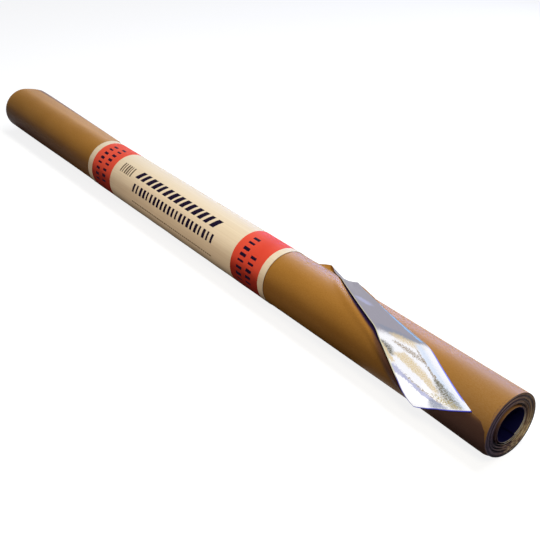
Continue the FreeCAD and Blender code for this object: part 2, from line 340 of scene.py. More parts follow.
foil = {
    "bright": srgb(250, 250, 255),
    "dull": srgb(166, 163, 175),
    "gold": srgb(226, 206, 168),
    "darkGold": srgb(188, 174, 130),
    "grey": srgb(150, 156, 174),
    "olive": srgb(124, 120, 102),
    "shade": srgb(104, 102, 88),
    "lavender": srgb(184, 186, 216),
    "umber": srgb(164, 146, 124),
    "ice": srgb(222, 232, 250),
    "sky": srgb(160, 206, 255),
    "violet": srgb(140, 146, 252),
    "paleEdge": srgb(216, 212, 184),
    "blueEdge": srgb(70, 72, 178),
    "roughness": 0.26,
    "dullRoughness": 0.5,
    "brightFrom": (0.615, 0.66),    # share along the crease where the painted reflection turns from dull to bright
    "wander": (0.014, 0.06),        # how far outlines wander, along and across
    "creases": (90.0, 26.0, 1.0),   # stretch of the wandering
    "specks": (210.0, 40.0, 1.0),
    # painted highlights along the edges, each a soft step over a share across or along the corner
    "paleLine": (0.962, 0.985),
    "paleFrom": (0.2, 0.26),
    "blueLine": (0.975, 0.99),
    "blueFrom": (0.84, 0.88),
    "sideLine": (0.9935, 0.997),
    "creaseLine": (0.018, 0.0),
    "creaseFrom": (0.70, 0.76),
    "creaseTo": (0.97, 0.945),
}

# Painted reflections in the foil, as streaks one over the other. Each has its colour, how far it is
# broken up by specks, its softness, its middle line as places (share along the crease, share from
# the crease to the cut end) and its half width at the start, the middle and the end.
paintedFoilReflections = [
    ("lavender", 0.0, 0.9, [(0.397, 0.76), (0.452, 0.52)], (0.14, 0.20, 0.12)),
    ("grey", 0.3, 0.9, [(0.60, 0.80), (0.66, 0.42), (0.70, 0.12)], (0.10, 0.20, 0.12)),
    ("sky", 0.0, 0.6, [(0.43, 0.02), (0.52, 0.05), (0.6, 0.06), (0.64, 0.07), (0.69, 0.05)],
     (0.01, 0.028, 0.02)),
    ("gold", 0.6, 0.7, [(0.645, 0.60), (0.68, 0.43), (0.735, 0.20)], (0.09, 0.15, 0.09)),
    ("umber", 0.7, 0.6, [(0.69, 0.67), (0.745, 0.47), (0.80, 0.27)], (0.05, 0.07, 0.04)),
    ("shade", 0.4, 0.7, [(0.685, 0.99), (0.71, 0.93), (0.76, 0.86)], (0.07, 0.11, 0.05)),
    ("gold", 0.2, 0.5, [(0.70, 1.0), (0.75, 0.97), (0.79, 0.90)], (0.05, 0.05, 0.04)),
    ("gold", 0.35, 0.4, [(0.752, 0.71), (0.79, 0.60), (0.84, 0.48), (0.88, 0.40), (0.925, 0.34)],
     (0.13, 0.11, 0.04)),
    ("ice", 0.0, 0.9, [(0.71, 0.20), (0.8, 0.20), (0.9, 0.16), (0.985, 0.10)], (0.06, 0.07, 0.06)),
    ("umber", 0.5, 0.4, [(0.735, 0.30), (0.8, 0.27), (0.86, 0.235), (0.90, 0.215)], (0.012, 0.022, 0.03)),
    ("olive", 0.5, 0.7, [(0.87, 0.24), (0.91, 0.22), (0.99, 0.17)], (0.04, 0.09, 0.08)),
    ("darkGold", 0.8, 0.8, [(0.93, 0.42), (0.965, 0.28), (0.99, 0.18)], (0.05, 0.10, 0.08)),
    ("lavender", 0.2, 0.5, [(0.80, 1.0), (0.835, 0.90), (0.87, 0.78)], (0.09, 0.08, 0.03)),
    ("umber", 0.6, 0.4, [(0.845, 0.79), (0.89, 0.66), (0.924, 0.56), (0.975, 0.37)], (0.01, 0.018, 0.02)),
    ("lavender", 0.1, 0.5, [(0.85, 0.83), (0.892, 0.71), (0.924, 0.62), (0.978, 0.43)],
     (0.03, 0.045, 0.06)),
    ("grey", 0.3, 0.5, [(0.952, 0.52), (0.975, 0.50), (0.995, 0.47)], (0.03, 0.11, 0.17)),
]


# a value that runs through a few points along the corner, straight between them: the rises of its
# stretches are added up
def runThrough(tree, along, points):
    total = points[0][1]
    for (first, before), (last, after) in zip(points, points[1:]):
        piece = node(tree, "MapRange", {"From Min": first, "From Max": last, "To Max": after - before},
                     {"Value": along})
        total = maths(tree, "ADD", piece.outputs[0], total)
    return total


# share of a streak: the distance from its middle line over its half width, softly from 1 to 0
# about 1, and fading out at both ends
def streakShare(tree, along, across, soft, middle, halves):
    start, end = middle[0][0], middle[-1][0]
    wide = runThrough(tree, along, list(zip((start, (start + end) / 2, end), halves)))
    off = absolute(tree, minus(tree, across, runThrough(tree, along, middle)))
    share = softStep(tree, maths(tree, "DIVIDE", off, wide), 1 + soft, 1 - soft)
    share = times(tree, share, softStep(tree, along, start - 0.01, start + 0.008))
    return times(tree, share, softStep(tree, along, end + 0.012, end - 0.008))


# The turned-back foil with painted reflections: dull grey towards the start of the crease and bright
# further down, where most streaks lie. Their outlines wander by noise, and fine specks break some of
# them up. The cut end has a pale line, the paper's edge with a painted highlight, which turns blue
# towards the tip; the side edge is blue and the crease violet, both painted highlights.
def cornerFoil():
    material, tree, shader = newMaterial("corner foil", Metallic=1.0)
    place = onSheet(tree)
    onCrease, fromCrease = threeParts(tree, place)[:2]
    wander = streaks(tree, place, foil["creases"], 1.0, 0.2, 0.8, 4.0)
    specks = streaks(tree, place, foil["specks"], 1.0, 0.44, 0.56, 2.0)
    along, across = (
        maths(tree, "MULTIPLY_ADD", wander, most, minus(tree, straight, most / 2))
        for straight, most in zip((onCrease, fromCrease), foil["wander"]))
    inwards = maths(tree, "POWER", minus(tree, 1.0, across), 1.5)
    shine = softStep(tree, maths(tree, "MULTIPLY_ADD", inwards, -0.08, along), *foil["brightFrom"])
    colour = blend(tree, shine, foil["dull"], foil["bright"])
    for name, speckled, soft, middle, halves in paintedFoilReflections:
        share = streakShare(tree, along, across, soft, middle, halves)
        if speckled:
            share = times(tree, share, maths(tree, "MULTIPLY_ADD", specks, -speckled, 1.0))
        colour = blend(tree, share, colour, foil[name])
    rim = times(tree, softStep(tree, fromCrease, *foil["paleLine"]),
                softStep(tree, onCrease, *foil["paleFrom"]))
    colour = blend(tree, rim, colour, foil["paleEdge"])
    rim = times(tree, softStep(tree, fromCrease, *foil["blueLine"]),
                softStep(tree, onCrease, *foil["blueFrom"]))
    rim = maths(tree, "MAXIMUM", rim, softStep(tree, onCrease, *foil["sideLine"]))
    colour = blend(tree, rim, colour, foil["blueEdge"])
    crease = times(tree, softStep(tree, fromCrease, *foil["creaseLine"]),
                   softStep(tree, onCrease, *foil["creaseFrom"]))
    crease = times(tree, crease, softStep(tree, onCrease, *foil["creaseTo"]))
    colour = blend(tree, crease, colour, foil["violet"])
    paint(tree, shader, colour)
    rough = node(tree, "MapRange", {"To Min": foil["dullRoughness"], "To Max": foil["roughness"]},
                 {"Value": shine})
    tree.links.new(rough.outputs[0], shader.inputs["Roughness"])
    bump(tree, shader, streaks(tree, place, foil["creases"], 1.0, 0.2, 0.8), 0.12, 0.4)
    return material


# colours and settings of the foil inside the roll and of the sheet's edges
inside = {
    "foilDark": srgb(96, 98, 122),
    "foilPale": srgb(140, 142, 160),
    # painted highlights on the loose turns' lip, then painted shade deeper in the bore
    "lipGold": srgb(232, 212, 168),
    "lipPale": srgb(255, 254, 246),
    # painted shade deeper in the bore
    "boreShadeBlue": srgb(14, 14, 56),
    "lip": (0.1, 0.7),               # depths under the rim where the lip turns to the painted shade
    "fibreDark": srgb(188, 164, 128),
    "fibrePale": srgb(222, 208, 184),
    "endEdgeShade": srgb(84, 56, 56),    # painted shade on the cut edges round the roll's ends
    "endShadeDepths": (19.0, 26.0),
    # painted light and shade: cooler and darker in front, warmer and lighter behind
    "shadedFrontDark": srgb(78, 70, 96),
    "shadedFrontPale": srgb(130, 110, 124),
    "litBackDark": srgb(136, 106, 88),
    "litBackPale": srgb(222, 188, 146),
    # dark rings of painted shade in the gaps between groups of turns
    "group": srgb(44, 34, 50),
    # painted highlights low behind
    "paintedGlint": srgb(250, 230, 184),
    "deep": srgb(8, 8, 28),          # painted shade down between the turns
    "deepShadeFrom": (1.6, 3.4),
}


# share of the way down from one depth under the roll's ends to another
def depthShare(tree, place, least, most):
    outwards = absolute(tree, threeParts(tree, place)[0])
    end = roll["width"] / 2
    return ramp(tree, outwards, (end - least) * mm, (end - most) * mm)


# aluminium face of the sheet inside the roll, with faint drawn lines
def innerFoil():
    material, tree, shader = newMaterial("inner foil", Metallic=1.0, Roughness=0.4)
    place = onObject(tree)
    lines = streaks(tree, place, (0.15, 1.0, 1.0), 160, 0.3, 0.7)
    colour = blend(tree, lines, inside["foilDark"], inside["foilPale"])
    paint(tree, shader, colour)
    bump(tree, shader, lines, 0.06)
    return material


# The foil of the loose innermost turns: a lip of painted highlights, pale and gold by turns, then
# dark blue painted shade. It reads how far round a point is and how far it lies under its own rim.
def boreFoil():
    material, tree, shader = newMaterial("bore foil", Metallic=0.1, Roughness=0.35)
    place = onSheet(tree)
    underRim = threeParts(tree, place)[1]
    patches = streaks(tree, place, (150.0, 40.0, 1.0), 1.0, 0.4, 0.6)
    lip = blend(tree, patches, inside["lipGold"], inside["lipPale"])
    deep = softStep(tree, underRim, *(depth * mm for depth in inside["lip"]))
    paint(tree, shader, blend(tree, deep, lip, inside["boreShadeBlue"]))
    bump(tree, shader, patches, 0.1, 0.4)
    return material


# cut edge of the sheet: pale fibres, with painted shade round the roll's ends
def cutEdge():
    material, tree, shader = newMaterial("cut edge", Roughness=0.6)
    place = onObject(tree)
    grain = streaks(tree, place, (1.0, 1.0, 1.0), 700, 0.3, 0.7)
    pale = blend(tree, grain, inside["fibreDark"], inside["fibrePale"])
    colour = blend(tree, depthShare(tree, place, *inside["endShadeDepths"]), inside["endEdgeShade"], pale)
    paint(tree, shader, colour)
    bump(tree, shader, grain, 0.04)
    return material


# noise that only changes with the distance from the roll's axis, spread to 0..1
def ringNoise(tree, reach, scale, detail):
    noise = node(tree, "TexNoise", {"Scale": scale, "Detail": detail}, {"W": reach},
                 noise_dimensions="1D")
    return ramp(tree, noise.outputs[0], 0.35, 0.65)


# Ends of the wound turns: rings of brown edges whose tone changes with the distance from the roll's
# axis. Painted shade makes them cooler and darker in front, painted light warmer and lighter
# behind, and a few painted glints show low behind.
def woundEdges():
    material, tree, shader = newMaterial("wound edges", Roughness=0.62, Specular_IOR_Level=0.3)
    place = onObject(tree)
    centred = node(tree, "Mapping", {"Location": (0, 0, -roll["axisHeight"] * mm), "Scale": (0, 1, 1)},
                   {"Vector": place}).outputs[0]
    reach = node(tree, "VectorMath", wires={0: centred}, operation="LENGTH").outputs["Value"]
    rings = ringNoise(tree, reach, 2600.0, 2.0)
    groups = ringNoise(tree, reach, 420.0, 1.0)
    back, up = threeParts(tree, centred)[1:]
    # painted light behind, painted shade in front
    behind = ramp(tree, back, -0.03, 0.032)
    cool = blend(tree, rings, inside["shadedFrontDark"], inside["shadedFrontPale"])
    warm = blend(tree, rings, inside["litBackDark"], inside["litBackPale"])
    colour = blend(tree, behind, cool, warm)
    # painted shade in dark rings between groups of turns
    colour = blend(tree, times(tree, groups, 0.9), colour, inside["group"])
    # painted glints low behind
    low = softStep(tree, minus(tree, back, up), 0.026, 0.048)
    glints = streaks(tree, place, (1.0, 1.0, 1.0), 130.0, 0.38, 0.56)
    glints = times(tree, times(tree, glints, rings), low)
    colour = blend(tree, glints, colour, inside["paintedGlint"])
    # painted shade down between the turns
    colour = blend(tree, depthShare(tree, place, *inside["deepShadeFrom"]), colour, inside["deep"])
    paint(tree, shader, colour)
    bump(tree, shader, streaks(tree, place, (1.0, 1.0, 1.0), 900, 0.3, 0.7), 0.05)
    return material


wrapper = {
    "cream": srgb(223, 209, 185),
    "creamShade": srgb(211, 194, 168),
    "red": srgb(222, 86, 66),
    "redShade": srgb(206, 66, 48),
    "paintedShadeRed": srgb(104, 20, 14),       # painted shade: deeper red lower on the front, from one angle to another
    "paintedShadeRedFrom": (60.0, 92.0),
    "paintedShadeRedShare": 0.75,
    "under": srgb(52, 36, 34),         # painted shade over everything low on the front, towards the floor
    "paintedShadeUnderFrom": (88.0, 142.0),
    "paintedShadeUnderShare": 0.8,
    "ink": srgb(24, 16, 40),
    "faintInk": srgb(112, 96, 80),
    "barInk": srgb(98, 85, 72),
    "slant": 0.42,                     # lean of the headline's blocks
    "width": (bandHigh.x - bandLow.x) / mm,
    "redFields": [(14.5, 78.5), (429.0, 493.0)],       # from the band's far edge
    "headline": (160.0, 389.4, 18.5, 40.0),            # far end, near end, first and last angle
    "secondLine": (151.0, 383.5, 51.5, 70.5),
    "smallLine": (152.0, 381.0, 93.5, 97.0),
    "barField": (97.0, 134.0, 22.0, 46.0),
    # rows that run round the band: near and far edge, first and last angle
    "sideRows": [(29.5, 40.5, -2.0, 102.0), (51.5, 62.5, -6.0, 102.0),
                 (443.0, 456.0, 8.0, 106.0), (465.0, 477.0, 44.0, 106.0)],
    "sideBlocks": (13.5, 0.32, 0.52),  # pitch, least and most share inked
}


# 1 inside a span of one coordinate, 0 outside it
def within(tree, value, low, high):
    return maths(tree, "COMPARE", value, (low + high) / 2, (high - low) / 2)


# a row of plain blocks: the place along the row is divided by the pitch, and a share of each pitch
# that varies from block to block is inked
def blockRow(tree, place, start, pitch, least, most):
    count = maths(tree, "DIVIDE", minus(tree, place, start), pitch)
    whole = maths(tree, "FLOOR", count)
    noise = node(tree, "TexWhiteNoise", wires={"W": whole}, noise_dimensions="1D").outputs[0]
    share = maths(tree, "MULTIPLY_ADD", noise, most - least, least)
    return maths(tree, "LESS_THAN", maths(tree, "FRACT", count), share)


# Printed wrapper: cream stock with lengthwise grain, two red fields with soft ink mottle, and rows
# of plain dark blocks. It reads the place on the flat band: along it, and the angle round the roll.
# Low on the front painted shade makes the red deeper, and below that it turns the whole wrapper dark.
def wrapperPaper():
    material, tree, shader = newMaterial("wrapper paper", Roughness=0.55, Specular_IOR_Level=0.01)
    place = onSheet(tree)
    along, angle = (times(tree, part, 1000.0) for part in threeParts(tree, place)[:2])
    grain = streaks(tree, place, (3.0, 300.0, 1.0), 1.0, 0.3, 0.7)
    cloud = streaks(tree, place, (1.0, 0.4, 1.0), 12.0, 0.3, 0.7)
    colour = blend(tree, times(tree, grain, 0.7), wrapper["cream"], wrapper["creamShade"])
    red = blend(tree, cloud, wrapper["red"], wrapper["redShade"])
    # painted shade deepens the red low on the front
    deeper = times(tree, softStep(tree, angle, *wrapper["paintedShadeRedFrom"]), wrapper["paintedShadeRedShare"])
    red = blend(tree, deeper, red, wrapper["paintedShadeRed"])
    for low, high in wrapper["redFields"]:
        colour = blend(tree, within(tree, along, low, high), colour, red)
    slanted = maths(tree, "MULTIPLY_ADD", angle, wrapper["slant"], along)
    # run of the row, field, rise along the band, pitch, least and most share inked, ink
    rows = [
        (slanted, wrapper["headline"], 0.0, 16.4, 0.54, 0.7, wrapper["ink"]),
        (along, wrapper["secondLine"], 0.006, 10.6, 0.4, 0.64, wrapper["ink"]),
        (along, wrapper["smallLine"], -0.012, 5.2, 0.6, 0.85, wrapper["faintInk"]),
        (along, wrapper["barField"], 0.0, 6.2, 0.38, 0.66, wrapper["barInk"]),
    ]
    for run, (low, high, first, last), rise, pitch, least, most, ink in rows:
        leaning = maths(tree, "MULTIPLY_ADD", along, rise, minus(tree, angle, 260 * rise))
        inked = blockRow(tree, run, low, pitch, least, most)
        inked = times(tree, inked, within(tree, run, low, high))
        inked = times(tree, inked, within(tree, leaning, first, last))
        colour = blend(tree, inked, colour, ink)
    for low, high, first, last in wrapper["sideRows"]:
        inked = blockRow(tree, angle, first, *wrapper["sideBlocks"])
        inked = times(tree, inked, within(tree, along, low, high))
        inked = times(tree, inked, within(tree, angle, first, last))
        colour = blend(tree, inked, colour, wrapper["ink"])
    # painted shade over everything low on the front
    under = times(tree, softStep(tree, angle, *wrapper["paintedShadeUnderFrom"]), wrapper["paintedShadeUnderShare"])
    colour = blend(tree, under, colour, wrapper["under"])
    paint(tree, shader, colour)
    bump(tree, shader, grain, 0.03)
    return material


paper = kraftPaper()
lining = innerFoil()
boreLining = boreFoil()
edging = cutEdge()
ringEdges = woundEdges()
shining = cornerFoil()
printed = wrapperPaper()
print("materials made")


# The lines of the turned-back corner. Each is a run of places that a smooth or straight line joins.
fold = {
    # along, angle: the sheet's cut end, from the far corner to where the crease begins
    "cutRun": [(0, -55.0), (360, -45.0), (888, -45.0)],
    # the crease, from the sheet's cut end to its side edge
    "crease": [(891, -45.5), (917, -45.4), (930, -45.3), (950, -44.6), (971, -42.5), (1002, -28.7),
               (1031, -15.8), (1078, -1.4), (1116, 6.7), (1133, 10.8), (1168, 29.6), (1194, 43.8),
               (1225, 59.4)],
    # the turned-back cut end, from the crease to the tip
    "cutEnd": [(919, -43.5), (938, -35.5), (974, -9.3), (997, 3.6), (1017, 13.2), (1043, 24.4),
               (1064, 33.8), (1076, 43), (1094.5, 56.9), (1110.4, 71.2), (1122.5, 84.3),
               (1132.7, 100.2), (1140, 110), (1148, 116)],
    # along, height of the fold over the roll
    "top": [(891, 0.05), (896, 0.1), (900, 1.0), (904, 2.8), (908, 4.5), (913, 6.2), (917.5, 7.6),
            (925, 6.2), (932, 4.5), (940, 2.8), (947, 1.1), (953, 0.4), (959, 1.5), (966, 3.3),
            (976, 6.0), (983, 4.4), (993, 2.9), (1002, 2.5), (1031, 2.0), (1050, 1.7), (1225, 1.6)],
    # along, height of the sheet where the fold begins
    "base": [(917, 0), (930, 0.5), (945, 0.1), (952, 0.1), (958, 0.5), (971, 1.4), (1002, 0.5),
             (1031, 0.2), (1225, 0)],
    # along, share of the half turn that the fold makes
    "turned": [(891, 0.5), (917, 0.55), (921, 1), (1225, 1)],
    "wall": 0.3,
    "rest": 0.75,          # height of the corner where it lies on the roll
    # share from the crease's start to its end, height of the cut end
    "lift": [(0, 6.4), (0.05, 2.9), (0.09, 0.9), (0.12, 1.2), (0.2, 2.4), (0.3, 2.8), (0.8, 2.6),
             (0.93, 3.5), (1, 4.8)],
    "freeFrom": 919,       # before this the sheet stands up but doesn't turn over
    # along, angle of the outermost turn's side edge below the crease
    "sideEdge": [(1231, 62.4), (1238.5, 65), (1246.5, 76), (1250, 98)],
    # height, count across, shift along: the low waves of the corner
    "waves": [(0.28, 2.4, 0.5), (0.12, 5.1, -1.3)],
    "rows": 230,
    "roundColumns": 18,
    "columns": 56,
}


# straight lines between a few points
def line(points, place):
    return np.interp(place, *np.array(points, float).T)


# places along the crease, closer at its start: shares of its length, which is added up on the flat
# sheet, by the power 1.25
def creaseStations(rows):
    along = np.linspace(fold["crease"][0][0], fold["crease"][-1][0], 600)
    angle = smoothLine(fold["crease"], along)
    across = np.radians(angle) * roll["reach"]
    length = np.concatenate([[0], np.cumsum(np.hypot(np.diff(along), np.diff(across)))])
    share = np.linspace(0, 1, rows) ** 1.25
    run = share * length[-1]
    return share, np.interp(run, length, along), np.interp(run, length, angle)


# radius of the fold's round: its height over the base, shared over the part of the half turn made
def foldRadius(along):
    last = np.radians(-90 + 180 * line(fold["turned"], along))
    return (line(fold["top"], along) - line(fold["base"], along)) / (1 + np.sin(last))


# angle of the outermost turn's free edge: the cut end, then where the fold begins, then the side
# edge
def freeEdgeAngle(along):
    share, creaseAlong, creaseAngle = creaseStations(fold["rows"])
    edge = creaseAngle + np.degrees(foldRadius(creaseAlong) / roll["reach"])
    cutAlong, cutAngle = np.array(fold["cutRun"]).T
    sideAlong, sideAngle = np.array(fold["sideEdge"]).T
    places = np.concatenate([cutAlong, creaseAlong, sideAlong])
    return np.interp(along, places, np.concatenate([cutAngle, edge, sideAngle]))


# height by which the outermost turn stands off at its free edge
def freeEdgeLift(along):
    return smoothLine(fold["base"], along) * ease((along - 912) / 12)


outerTurn = {
    # stretches of the grid along the roll, then round it from the free edge: first, last, count
    "rows": [(0, 335, 24), (342, 362, 11), (376, 870, 34), (882, 926, 45), (928, 1224, 104),
             (1225, 1250, 30)],
    "columns": [(0, 25, 22), (25, 130, 66), (130, 328, 31), (328, 362, 28)],
    "columnsUnder": 28,      # and from there to the end of the underlap
    # along, height by which the cut end springs off the roll before the band
    "spring": [(0, 10.3), (40, 10), (150, 7), (252, 4.2), (344, 1.8)],
    "springFrom": -10.0,
    "springTo": 358.0,
    "ridge": 1.3,            # soft swelling of the paper beside the turned-back corner
    "ridgeWidth": 5.0,
    "ridgeGap": 9.0,
    "bulge": [(940, 0), (952, 0.8), (974, 5.6), (1002, 3.3), (1031, 1.4), (1060, 0)],
    "bulgeGap": 3.4,         # the turn below swells beside the crease
    "bulgeWidth": 1.7,
    "waviness": 0.1,
    # shares of the painted shade in the kraft, but for the slight darkening behind the top; widths are
    # measured from the corner's cut end
    "gapWidth": [(960, 0), (975, 1), (985, 1.8), (1012, 3.2), (1045, 4.4), (1068, 4.6), (1085, 2.5),
                 (1100, 0)],
    "shadeWidth": [(1025, 0.01), (1060, 6), (1090, 12), (1130, 26), (1150, 40)],
    "shade": 0.68,           # painted shadow in front of the corner and under it
    "low": 0.85,             # painted shade low on the front
    "lowFar": 0.7,           # painted shade higher up on the front, less and less from the far end on
    "behind": 0.12,          # behind the top
}


# a grid's stations from its stretches, each given by its first and last value and its count
def stations(stretches):
    return np.unique(np.concatenate([np.linspace(*stretch) for stretch in stretches]))


# distance round the roll from the cut end of the turned-back corner
def pastCutEnd(along, angle):
    return (angle - line(fold["cutEnd"], along)) * np.radians(roll["reach"])


# Share of the painted shade colour in the kraft: full as painted shade in the narrow gap at the
# corner's cut end, softer as its painted shadow in front of the corner and under it, painted shade
# low on the front, and a slight darkening behind the top. The darkest of them counts.
def paintedShadeShare(along, angle):
    off = pastCutEnd(along, angle)
    width = line(outerTurn["gapWidth"], along)
    inGap = ease(1.9 - 1.2 * off / np.maximum(width, 0.01)) * (width > 0)
    inFront = ease(1.5 - off / line(outerTurn["shadeWidth"], along)) * ease((1175 - along) / 25)
    under = ease((along - 1110) / 70) * ease((angle - 56) / 14)
    shade = outerTurn["shade"] * np.maximum(inFront, under)
    fade = ease((260 - angle) / 60)
    low = outerTurn["low"] * ease((angle - 112) / 25) * fade
    lowFar = outerTurn["lowFar"] * ease((angle - 60) / 40) * (1 - ease(along / 700)) * fade
    behind = outerTurn["behind"] * ease((-5 - angle) / 15)
    return np.maximum.reduce([np.maximum(inGap, shade) * (angle < 200), low, lowFar, behind])


# The sheet's last turn and the start of the turn below it, as one spiral: each row is a circle
# that starts at the free edge and goes round to the underlap. Before the band the cut end springs
# off by the square of the way to it. A low ridge, e^-(x / width)^2, runs beside the cut end of the
# turned-back corner, and the turn below swells in the same way beside the crease.
def makeOuterTurn():
    along = stations(outerTurn["rows"])
    start = freeEdgeAngle(along)[:, None]
    steps = stations(outerTurn["columns"])[None, :]
    rest = np.linspace(0, 1, outerTurn["columnsUnder"])[None, 1:]
    last = start + steps[:, -1:]
    angle = np.concatenate([start + steps, last + rest * (roll["underlap"] - last)], axis=1)
    along = along[:, None]
    topTurn = angle < 200    # the last turn itself, down to under the roll
    reach = woundReach(angle)
    lead = 9.0 + 3.0 * freeEdgeLift(along)
    reach = reach + freeEdgeLift(along) * ease(1 - (angle - start) / lead)
    way = np.clip((outerTurn["springFrom"] - angle) / (outerTurn["springFrom"] - start), 0, 1)
    reach = reach + line(outerTurn["spring"], along) * ease((outerTurn["springTo"] - along) / 12) * way ** 2
    beside = pastCutEnd(along, angle) - outerTurn["ridgeGap"]
    ridge = outerTurn["ridge"] * np.exp(-(beside / outerTurn["ridgeWidth"]) ** 2)
    reach = reach + ridge * ease((along - 935) / 40) * ease((1150 - along) / 30) * topTurn
    beyond = (start - (angle - 360)) * np.radians(roll["reach"]) - outerTurn["bulgeGap"]
    bulge = line(outerTurn["bulge"], along) * np.exp(-(beyond / outerTurn["bulgeWidth"]) ** 2)
    reach = reach + bulge * (angle > 250)
    waves = np.sin(along / 37 + np.radians(angle) * 2) + np.sin(along / 61 - np.radians(angle) * 3 + 1)
    reach = reach + outerTurn["waviness"] * waves * ease((angle - start) / 20) * ease((330 - angle) / 20)
    outer = onRoll(along, angle, reach)
    points, faces, kinds = thickSheet(outer, roll["wall"])
    # the third number is the share of the painted shade
    flat = flatPlace(along + 0 * angle, np.radians(angle) * roll["reach"], paintedShadeShare(along, angle))
    return addPiece("outermost_turn", points, faces, kinds, [paper, lining, edging],
                    flat)


outermost = makeOuterTurn()
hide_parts("foil_paper_roll")


# The corner as rows across the crease. Each row starts with the crease's round, an arc from the
# outermost turn up and over, and goes on as a straight ruling of the sheet to its cut end. The
# height eases from the crease down to the roll and up again at the cut end, with low waves.
def makeCorner():
    share, creaseAlong, creaseAngle = creaseStations(fold["rows"])
    across = np.radians(creaseAngle) * roll["reach"]
    slopeAlong, slopeAcross = np.gradient(creaseAlong), np.gradient(across)
    slope = np.hypot(slopeAlong, slopeAcross)
    sideAlong, sideAcross = -slopeAcross / slope, slopeAlong / slope
    radius = foldRadius(creaseAlong)
    turned = line(fold["turned"], creaseAlong)
    swing = np.radians(-90 + 180 * np.linspace(0, 1, fold["roundColumns"])[None, :] * turned[:, None])
    shift = radius[:, None] * (1 - np.cos(swing))
    roundAlong = creaseAlong[:, None] + sideAlong[:, None] * shift
    roundAcross = across[:, None] + sideAcross[:, None] * shift
    roundHeight = line(fold["base"], creaseAlong)[:, None] + radius[:, None] * (1 + np.sin(swing))
    free = np.clip((creaseAlong - fold["freeFrom"]) / (fold["crease"][-1][0] - fold["freeFrom"]), 0, 1)
    cutAlong, cutAngle = np.array(fold["cutEnd"]).T
    cutAcross = np.radians(cutAngle) * roll["reach"]
    run = np.concatenate([[0], np.cumsum(np.hypot(np.diff(cutAlong), np.diff(cutAcross)))])
    endAlong = smoothLine(np.stack([run, cutAlong], 1), free * run[-1])
    endAcross = smoothLine(np.stack([run, cutAcross], 1), free * run[-1])
    settle = ease(free / 0.05)
    fromAlong, fromAcross, fromHeight = roundAlong[:, -1], roundAcross[:, -1], roundHeight[:, -1:]
    endAlong = fromAlong + (endAlong - fromAlong) * settle
    endAcross = fromAcross + (endAcross - fromAcross) * settle
    q = (np.arange(1, fold["columns"] + 1) / fold["columns"])[None, :]
    flatAlong = fromAlong[:, None] + (endAlong - fromAlong)[:, None] * q
    flatAcross = fromAcross[:, None] + (endAcross - fromAcross)[:, None] * q
    free = free[:, None]
    lift = fromHeight + (line(fold["lift"], free) - fromHeight) * settle[:, None]
    rest = fold["rest"] + ((fromHeight + lift) / 2 - fold["rest"]) * ease(1 - free / 0.3)
    height = rest + (fromHeight - rest) * ease(1 - q / 0.35) + (lift - rest) * ease((q - 0.5) / 0.5)
    waves = sum(high * np.sin(2 * np.pi * (count * q + shift * free))
                for high, count, shift in fold["waves"])
    height = height + waves * ease(q * 4) * ease((1 - q) * 5) * ease((free - 0.35) / 0.3)
    along = np.concatenate([roundAlong, flatAlong], axis=1)
    angle = np.degrees(np.concatenate([roundAcross, flatAcross], axis=1) / roll["reach"])
    reach = woundReach(angle) + np.concatenate([roundHeight, height], axis=1)
    outer = onRoll(along, angle, reach)
    points, faces, kinds = thickSheet(outer, fold["wall"])
    roundShare = np.linspace(-0.05, 0, fold["roundColumns"])[None, :] + 0 * roundAlong
    flat = flatPlace(share[:, None] * 1000, np.concatenate([roundShare, q + 0 * flatAlong], axis=1) * 1000)
    return addPiece("turned_back_corner", points, faces, kinds, [shining, paper, edging],
                    flat, weld=0.002)


makeCorner()


ends = {
    "mouth": 26.0,           # reach of the tight turns' inside
    "outside": 40.55,
    "turns": 58,
    "gapTurns": [3, 14, 24],
    "gapWidths": [1.9, 1.6, 1.4],
    "gapLeast": 0.4,         # share of its width that a gap keeps on the tight side
    "step": 2.2,             # the first turns round the mouth stand this much deeper
    "rimDepth": 0.5,         # the rims lie this deep on the whole
    "jitter": 0.1,           # spread of their unevenness
    "wander": [(0.45, 0.61, 1), (0.3, 1.7, 2)],    # depth, rate along the spiral, shift
    "wanderShare": 0.6,
    "bevel": 0.9,            # the last turns round the outside stand this much deeper in front
    "bevelTurns": 9,
    "looseAngle": 122.0,
    "gapDepth": 6.0,
    "grooveDepth": 0.22,
    "mouthDepth": 22.0,
    "collar": 22.7,          # inside of the floor of the mouth
    "backDepth": 30.0,
    "columns": 150,
}


